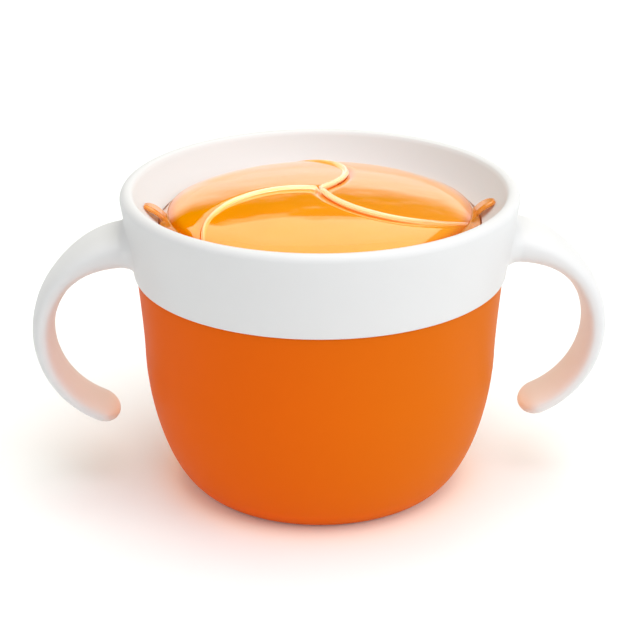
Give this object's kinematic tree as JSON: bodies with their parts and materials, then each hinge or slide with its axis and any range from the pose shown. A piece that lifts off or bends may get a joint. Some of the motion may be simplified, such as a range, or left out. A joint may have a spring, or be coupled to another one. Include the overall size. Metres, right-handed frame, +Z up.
{
  "type": "toddler snack container",
  "caption": "Two-handled toddler snack cup: round tapered cup, pull-off collar with open C-shaped handles, and a domed soft insert with push-through pinwheel flaps.",
  "frame": {"origin": "centre of the base, where the foot ring meets the table", "axes": "+Z up along the cup's axis; X runs through both handles; -Y is the side the picture looks at"},
  "size_m": [0.1442, 0.0982, 0.0775],
  "materials": {
    "cup": "satin orange polypropylene",
    "collar": "fine matt white polypropylene",
    "insert": "clear amber orange soft elastomer"
  },
  "bodies": {
    "cup": {"cup": "cup"},
    "lid": {"collar": "collar", "left_handle": "collar", "right_handle": "collar"},
    "insert": {"flap_ring": "insert"},
    "right_flap": {"right_flap": "insert"},
    "rear_flap": {"rear_flap": "insert"},
    "front_flap": {"front_flap": "insert"}
  },
  "joints": [
    {"name": "lid_lift", "type": "slide", "parent": "cup", "child": "lid", "axis": [0, 0, 1], "range_m": [0, 0.04]},
    {"name": "insert_lift", "type": "slide", "parent": "lid", "child": "insert", "axis": [0, 0, 1], "range_m": [0, 0.02]},
    {"name": "right_flap_hinge", "type": "hinge", "parent": "insert", "child": "right_flap", "pos_m": [0.0157, 0.00978, 0.07179], "axis": [0.5286, -0.8489, 0], "range_deg": [0, 60], "stiffness_Nm_per_rad": 0.02},
    {"name": "rear_flap_hinge", "type": "hinge", "parent": "insert", "child": "rear_flap", "pos_m": [-0.01632, 0.00871, 0.07179], "axis": [0.4709, 0.8822, 0], "range_deg": [0, 60], "stiffness_Nm_per_rad": 0.02},
    {"name": "front_flap_hinge", "type": "hinge", "parent": "insert", "child": "front_flap", "pos_m": [0.00062, -0.01849, 0.07179], "axis": [-0.9994, -0.0333, 0], "range_deg": [0, 60], "stiffness_Nm_per_rad": 0.02}
  ]
}
